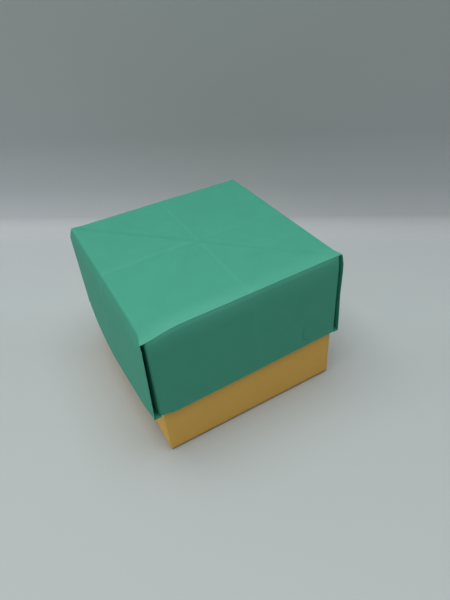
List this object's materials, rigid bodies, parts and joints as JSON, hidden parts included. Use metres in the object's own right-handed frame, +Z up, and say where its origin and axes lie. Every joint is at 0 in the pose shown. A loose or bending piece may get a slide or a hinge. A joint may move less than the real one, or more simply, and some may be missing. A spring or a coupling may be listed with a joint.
{
  "type": "folded paper box",
  "caption": "Square box of folded paper with a slightly wider lid of the same fold, resting part way down over it and sliding off upwards",
  "frame": {"origin": "on the surface that the box stands on, under the middle of the base", "axes": "+Z up; -Y is out of one of the lid's plain side walls, which show the open pleats at their ends; +X is out of one of the lid's end walls"},
  "size_m": [0.0824, 0.075, 0.0593],
  "materials": {
    "yellow_paper": "matt dyed craft paper",
    "green_paper": "matt dyed craft paper"
  },
  "bodies": {
    "base": {"base": "yellow_paper"},
    "lid": {"lid": "green_paper"}
  },
  "joints": [
    {"name": "lid_slide", "type": "slide", "parent": "base", "child": "lid", "axis": [0, 0, 1], "range_m": [-0.0218, 0.03]}
  ]
}
